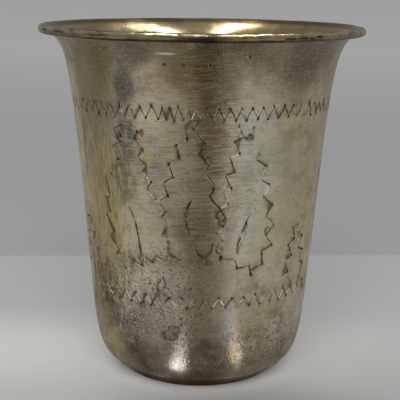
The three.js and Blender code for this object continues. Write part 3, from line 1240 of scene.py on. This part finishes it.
def by_the_cuts(tree, paint):
    """Old grime keeps close to the cuts, and elsewhere the metal raised beside them is rubbed bright and
    carries painted glints.
    """
    near = add_node(tree, "ShaderNodeAttribute", {"attribute_name": NEAR_CUT}).outputs["Fac"]
    kept = cloud(tree, 300.0, 0.36, 0.62, (0.9, 0.3, 0.5))
    close = calc(tree, "POWER", near, 3.4)
    paint = tinted(tree, paint, OLD_GRIME, close, ramped(tree, kept, 0.0, 1.0, 0.0, 0.8))
    raised = cloud(tree, 1000.0, 0.52, 0.62, (0.1, 0.9, 0.2))
    return tinted(tree, paint, BURR_AND_GLINT, ramped(tree, near, 0.55, 0.9, 0.0, 0.55), raised)


def at_the_foot(tree, paint, height, ragged, grime):
    """The foot, which faces the floor, is brown with tarnish and painted shade, with a worn band, and a pale
    line, a painted highlight, runs along the ridge over it.
    """
    edge = calc(tree, "MULTIPLY_ADD", ragged, 0.5 * MM, height)
    paint = mixed(tree, ramped_mm(tree, edge, 2.05, 2.25, 0.92, 0.0), paint, BROWN_FOOT)
    band = ramped_mm(tree, away_from(tree, height, 1.35 * MM), 0.04, 0.2, 0.75, 0.0)
    paint = mixed(tree, band, paint, FOOT_BAND)
    paint = mixed(tree, ramped_mm(tree, height, 0.35, 0.8, 0.8, 0.0), paint, grime)
    paint = stained(tree, paint, (((2, 0.7, 15.2), (5, 3, 0.7), (0.50, 0.22, 0.08), 0.8),))
    ridge = ramped_mm(tree, away_from(tree, height, 2.12 * MM), 0.02, 0.12, 0.6, 0.0)
    return mixed(tree, ridge, paint, PALE_RIDGE)


def make_tarnished_silver(colours):
    """The outside: worn silver, rubbed round, under uneven brown, olive and blue-grey tarnish."""
    material, tree, shader = new_material("tarnished_silver")
    grime, height, ragged = tuple(colours.grime), place_parts(tree)["Z"], grain_at(tree, 70.0, 5.0)
    level = calc(tree, "MULTIPLY_ADD", calc(tree, "SUBTRACT", ragged, 0.5), 14 * MM, height)
    # The flare and the lower corner, which face down, are darker than the wall that hands rub: tarnish, with
    # painted shade.
    flare = ramped_mm(tree, level, 52, 62, 0.0, 0.75)
    corner = ramped_mm(tree, level, 17, 9, 0.0, 0.8)
    paint = mixed(tree, flare, tuple(colours.silver), DARK_FLARE)
    paint = mixed(tree, corner, paint, DARK_CORNER)
    paint = broad_tarnish(tree, paint, colours)
    paint = placed_tarnish(tree, paint, colours)
    paint = grained(tree, paint, level)
    fine, broad = lines_round(tree, 330.0, 4800.0, 0.005), lines_round(tree, 60.0, 1500.0, 0.004)
    streaks = calc(tree, "ADD", product(tree, fine, 0.88), product(tree, broad, 0.12))
    paint = wiped(tree, paint, streaks)
    paint = by_the_cuts(tree, paint)
    specks = specks_at(tree, 1900.0, 0.3, 0.025)
    paint = tinted(tree, paint, grime, specks, 0.8)
    paint = tinted(tree, paint, FLECK, specks_at(tree, 1500.0, 0.2, 0.008), 0.9)
    paint = at_the_foot(tree, paint, height, ragged, grime)
    # Low down it is smoother, and its grain is coarser.
    blotch = cloud(tree, 260.0, 0.40, 0.66, (0.4, 0.4, 0.4))
    smooth = ramped_mm(tree, height, 9, 15, 0.13, 0.0)
    coarse = ramped_mm(tree, height, 15, 9, 0.5, 1.5)
    lines_and_specks = calc(tree, "SUBTRACT", streaks, specks)
    relief = calc(tree, "MULTIPLY_ADD", grain_at(tree, 3000.0, 2.0), coarse, lines_and_specks)
    set_inputs(tree, shader, {
        "Base Color": paint,
        "Metallic": 1.0,
        "Roughness": calc(tree, "SUBTRACT", ramped(tree, blotch, 0.0, 1.0, 0.30, 0.42), smooth),
        "Normal": bumped(tree, relief, 0.035 * MM),
        "Anisotropic": 0.8,
        "Anisotropic Rotation": 0.25,
        "Tangent": add_node(tree, "ShaderNodeTangent", {"direction_type": "RADIAL", "axis": "Z"}).outputs[0],
    })
    return material


def make_worn_gilt(colours):
    """The inside: a gold wash, worn and stained, with a painted dark reflection along the lip."""
    material, tree, shader = new_material("worn_gilt")
    paint = clouded(tree, tuple(colours.gilt), (
        (90.0, 0.45, 0.72, 0.0, tuple(colours.tarnish), 0.6),
        (300.0, 0.50, 0.75, 0.4, (0.20, 0.12, 0.05), 0.5),
    ))
    paint = stained(tree, paint, (((-155, 62, 28), (1.0, 3, 3), (0.18, 0.09, 0.03), 0.8),))
    # A dark band just inside the lip is a painted dark reflection.
    by_rim = ramped_mm(tree, place_parts(tree)["Z"], 63.9, 64.5, 0.0, 0.8)
    rubbed = cloud(tree, 120.0, 0.4, 0.7, (0.5, 0.2, 0.2))
    set_inputs(tree, shader, {
        "Base Color": mixed(tree, by_rim, paint, GILT_EDGE),
        "Metallic": 1.0,
        "Roughness": ramped(tree, rubbed, 0.0, 1.0, 0.19, 0.31),
        "Normal": bumped(tree, lines_round(tree, 70.0, 1800.0, 0.002), 0.015 * MM),
    })
    return material


def make_worn_rim(colours):
    """The rolled edge: rubbed bright above with a painted dark reflection along its top, darker below with
    tarnish, dirt and painted shade, and beaten uneven.
    """
    material, tree, shader = new_material("worn_rim")
    grime, ragged = tuple(colours.grime), grain_at(tree, 260.0, 4.0)
    uneven = calc(
        tree, "MULTIPLY_ADD", calc(tree, "SUBTRACT", ragged, 0.5), 0.5 * MM, place_parts(tree)["Z"]
    )
    below = calc(tree, "SUBTRACT", CAD_HIGH.z, uneven)
    paint = clouded(tree, RUBBED_RIM, (
        (140.0, 0.42, 0.66, 0.2, tuple(colours.olive), 0.5),
        (500.0, 0.46, 0.68, 0.8, (0.16, 0.12, 0.07), 0.8),
    ))
    # A painted dark reflection lies along the top. From halfway down, where the roll faces the floor, tarnish
    # and painted shade darken it, and at the wall painted shadow and dirt fill the joint.
    paint = mixed(tree, ramped_mm(tree, below, 0.05, 0.13, 0.9, 0.0), paint, RIM_TOP)
    paint = mixed(tree, ramped_mm(tree, below, 0.45, 0.85, 0.0, 0.75), paint, tuple(colours.tarnish))
    paint = mixed(tree, ramped_mm(tree, below, 1.0, 1.25, 0.0, 0.9), paint, grime)
    paint = stained(tree, paint, (
        ((1, 64.0, 29.9), (5.5, 2, 1.0), grime, 0.85),
        ((-66, 64.45, 29.7), (2.6, 2.6, 0.3), grime, 0.9),
        ((-53, 64.45, 29.7), (3.0, 3.0, 0.3), grime, 0.9),
        ((-35, 64.3, 29.7), (3.0, 3.0, 0.3), grime, 0.5),
        ((-20, 63.8, 29.8), (5.0, 2, 0.5), (0.05, 0.04, 0.02), 0.6),
    ))
    beaten = cloud(tree, 210.0, 0.3, 0.7, (0.1, 0.1, 0.7), detail=1.0)
    set_inputs(tree, shader, {
        "Base Color": paint,
        "Metallic": 1.0,
        "Roughness": ramped(tree, ragged, 0.4, 0.7, 0.20, 0.32),
        "Normal": bumped(tree, beaten, 0.2 * MM),
    })
    return material


def make_dark_cut(colours):
    """Grime and black tarnish, deep in the cuts and inside the roll."""
    material, tree, shader = new_material("dark_cut")
    paint = mixed(tree, cloud(tree, 700.0, 0.42, 0.66), tuple(colours.grime), DRY_GRIME)
    set_inputs(tree, shader, {"Base Color": paint, "Metallic": 0.3, "Roughness": 0.6})
    return material


def make_bright_cut(colours):
    """The side of a graver cut that faces up: a polished facet painted pale as a highlight, whitest in the
    lower border.
    """
    material, tree, shader = new_material("bright_cut")
    whiter = ramped_mm(tree, place_parts(tree)["Z"], 22, 19.5)
    polished = mixed(tree, whiter, POLISHED_CUT_AND_HIGHLIGHT, WHITE_METAL)
    paint = mixed(tree, cloud(tree, 420.0, 0.44, 0.64), polished, tuple(colours.tarnish))
    set_inputs(tree, shader, {"Base Color": paint, "Metallic": 0.5, "Roughness": 0.5})
    return material


# ---------------------------------------------------------------------------------------------------------
# The stage
# ---------------------------------------------------------------------------------------------------------


def seen_in_metal(tree):
    """One where the camera sees a thing in the metal, and nought where the metal throws its light on."""
    path = add_node(tree, "ShaderNodeLightPath").outputs
    return product(tree, path["Is Glossy Ray"], calc(tree, "LESS_THAN", path["Diffuse Depth"], 0.5))


def all_round(tree, turned, stops):
    """A grey by the angle round the cup, given by (degrees right of the front, grey)."""
    ramp = add_node(tree, "ShaderNodeValToRGB", None, {0: turned})
    elements = ramp.color_ramp.elements
    while len(elements) < len(stops):
        elements.new(1.0)
    for element, (degrees, grey) in zip(elements, stops):
        element.position, element.color = (degrees + 180) / 360, (grey, grey, grey, 1.0)
    return ramp.outputs[0]


def floor_paint(tree, place, far_off, settings):
    """The floor's colour with painted light: a pool of light beside the cup, painted shade at the right front,
    and a line behind the cup.
    """
    pool = product(
        tree,
        ramped(tree, away_from(tree, place["Y"], POOL_MIDDLE), *POOL_EDGE, 1.0, 0.0),
        ramped(tree, place["X"], *POOL_FADE, 1.0, 0.4),
    )
    front = mixed(tree, pool, tuple(settings.floor), tuple(settings.pool))
    ahead_right = calc(tree, "MULTIPLY_ADD", place["X"], 0.7, product(tree, place["Y"], -1.0))
    front = mixed(tree, ramped(tree, ahead_right, *RIGHT_FRONT, 0.0, RIGHT_FRONT_DARK), front, BLACK)
    back = mixed(tree, ramped(tree, place["Y"], *BACK_FADE), tuple(settings.back), tuple(settings.far))
    past_line = calc(tree, "MULTIPLY_ADD", place["X"], BACK_SLOPE, place["Y"])
    paint = mixed(tree, ramped(tree, past_line, *BACK_LINE), front, back)
    # Painted light close round the foot takes away the contact shadow, and painted shade darkens it a little
    # way in front.
    paint = mixed(tree, ramped(tree, far_off, *BY_FOOT, 0.5, 0.0), paint, WHITE)
    dusk = effect(tree, "stain", centre=DUSK_MIDDLE, size=DUSK_SIZE, edge=1.0, ragged=0.0)
    return tinted(tree, paint, BLACK, dusk, DUSK)


def make_pale_floor(settings):
    """The floor. Its painted shade and painted glowing patches show only as the metal mirrors them."""
    material, tree, shader = new_material("pale_floor")
    place, far_off, mirrored = place_parts(tree), length_of(tree, object_place(tree)), seen_in_metal(tree)
    paint = floor_paint(tree, place, far_off, settings)
    # Painted shade, seen only in the metal, by the angle round the cup.
    heading = calc(tree, "ARCTAN2", place["X"], product(tree, place["Y"], -1.0))
    turned = ramped_straight(tree, heading, -math.pi, math.pi)
    beyond = ramped(tree, far_off, *NEAR_TO_FAR)
    seen = mixed(tree, beyond, all_round(tree, turned, MIRRORED_NEAR), all_round(tree, turned, MIRRORED_FAR))
    # Painted glints: patches of the floor that glow only as the metal mirrors them.
    glow = BLACK
    for middle, size, tint, strength in GLINTS:
        middle, size = [tuple(extent * MM for extent in extents) for extents in (middle, size)]
        mask = effect(tree, "stain", centre=middle, size=size, edge=0.45, ragged=0.7, grain=400.0)
        glow = tinted(tree, glow, tint, mask, strength)
    set_inputs(tree, shader, {
        "Base Color": tinted(tree, paint, tuple(settings.shade), seen, mirrored),
        "Roughness": 0.4,
        "Specular IOR Level": 0.25,
        "Emission Color": mixed(tree, mirrored, BLACK, glow),
        "Emission Strength": GLINT_POWER,
    })
    return material


def make_studio(settings):
    """The soft light from all round. Metal sees the room itself, which is darker than its light."""
    world = bpy.data.worlds.new("studio")
    world.use_nodes = True
    tree = world.node_tree
    sky = tree.nodes["Background"]
    strength = calc(
        tree, "MULTIPLY_ADD", seen_in_metal(tree), settings.room - settings.ambient, settings.ambient
    )
    set_inputs(tree, sky, {"Color": (0.98, 0.99, 1.0), "Strength": strength})
    return world


def soft_light(name, place, aim, size, power):
    """A flat lamp that faces a point, with its width and its height in metres, and its power in watts."""
    lamp = bpy.data.lights.new(name, "AREA")
    lamp.shape, lamp.energy = "RECTANGLE", power
    lamp.size, lamp.size_y = size
    made = bpy.data.objects.new(name, lamp)
    made.location = place
    made.rotation_euler = (Vector(aim) - Vector(place)).to_track_quat("-Z", "Y").to_euler()
    bpy.context.scene.collection.objects.link(made)
    return made


def make_camera():
    """The camera, placed by the cup's height."""
    camera = bpy.data.objects.new("camera", bpy.data.cameras.new("camera"))
    camera.data.lens, camera.data.sensor_width = LENS, SENSOR
    camera.data.clip_start, camera.data.clip_end = 0.01, 60.0
    turn = Matrix.Rotation(math.pi / 2 - CAMERA_DIP, 4, "X") @ Matrix.Rotation(CAMERA_ROLL, 4, "Z")
    back, up = -CAMERA_BACK * CAD_HIGH.z, CAMERA_UP * CAD_HIGH.z
    camera.matrix_world = Matrix.Translation((0.0, back, up)) @ turn
    bpy.context.scene.collection.objects.link(camera)
    return camera


# ---------------------------------------------------------------------------------------------------------
# Operators
# ---------------------------------------------------------------------------------------------------------


class KIDDUSH_OT_beaker(bpy.types.Operator):
    """Makes the cup: its sheet with the rolled edge, the engraving, and the finishes"""

    bl_idname = "kiddush.beaker"
    bl_label = "Silver Beaker"

    def execute(self, context):
        sizes, engraving = context.scene.beaker_sizes, context.scene.engraving_sizes
        for make in (make_rubbed_lines, make_cloud, make_stain, make_specks):
            make()
        finishes = (make_tarnished_silver, make_worn_gilt, make_worn_rim, make_dark_cut, make_bright_cut)
        materials = [make(context.scene.finish_colours) for make in finishes]
        bm, wall = spun_sheet(sizes)
        cup = new_piece("silver_beaker", bm, materials)
        engrave(cup, all_strokes(engraving, wall) + lifted_edge(engraving, Rim(sizes)), materials)
        hand_finish(cup, sizes)
        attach(cup, "root")
        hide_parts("cup")
        return {"FINISHED"}


class KIDDUSH_OT_stage(bpy.types.Operator):
    """Makes the pale floor, the soft studio light and the camera"""

    bl_idname = "kiddush.stage"
    bl_label = "Stage"

    def execute(self, context):
        scene, settings = context.scene, context.scene.studio_settings
        bm = bmesh.new()
        bmesh.ops.create_grid(bm, x_segments=1, y_segments=1, size=FLOOR_HALF)
        floor = new_piece("floor", bm, [make_pale_floor(settings)])
        scene.world = make_studio(settings)
        scene.view_settings.view_transform = "Standard"
        # Two long lamps overhead show in the metal alone, and the one in front lights all but the metal.
        left = soft_light("left_lamp", (-0.16, -0.10, 0.78), (-0.16, -0.09, 0.0), (0.085, 0.6), 1.9)
        right = soft_light("right_lamp", (0.27, -0.08, 0.76), (0.27, -0.07, 0.0), (0.09, 0.6), 2.05)
        left.visible_diffuse = right.visible_diffuse = False
        fill = soft_light("front_fill", (-0.02, -0.5, 0.32), (0.0, 0.0, 0.0), (0.5, 0.5), 2.3)
        fill.visible_glossy = False
        scene.camera = make_camera()
        return {"FINISHED"}


class KIDDUSH_PT_panel(bpy.types.Panel):
    """Lists what makes up the kiddush cup"""

    bl_idname = "KIDDUSH_PT_panel"
    bl_label = "Kiddush Cup"
    bl_space_type = "VIEW_3D"
    bl_region_type = "UI"
    bl_category = "Kiddush Cup"

    def draw(self, context):
        for operator in (KIDDUSH_OT_beaker, KIDDUSH_OT_stage):
            self.layout.operator(operator.bl_idname)
        for group in SETTINGS:
            settings = getattr(context.scene, group)
            box = self.layout.box()
            for name in settings.__annotations__:
                box.prop(settings, name)


SETTINGS = {
    "beaker_sizes": BeakerSizes,
    "engraving_sizes": EngravingSizes,
    "finish_colours": FinishColours,
    "studio_settings": StudioSettings,
}
CLASSES = (*SETTINGS.values(), KIDDUSH_OT_beaker, KIDDUSH_OT_stage, KIDDUSH_PT_panel)


def register():
    """Adds the classes to Blender, and the settings to its scenes."""
    for cls in CLASSES:
        bpy.utils.register_class(cls)
    for name, cls in SETTINGS.items():
        setattr(bpy.types.Scene, name, bpy.props.PointerProperty(type=cls))


def unregister():
    """Takes the settings and the classes away again."""
    for name in SETTINGS:
        delattr(bpy.types.Scene, name)
    for cls in reversed(CLASSES):
        bpy.utils.unregister_class(cls)


def main():
    """Makes the cup and the stage."""
    register()
    bpy.ops.kiddush.beaker()
    bpy.ops.kiddush.stage()


if __name__ == "__main__":
    main()
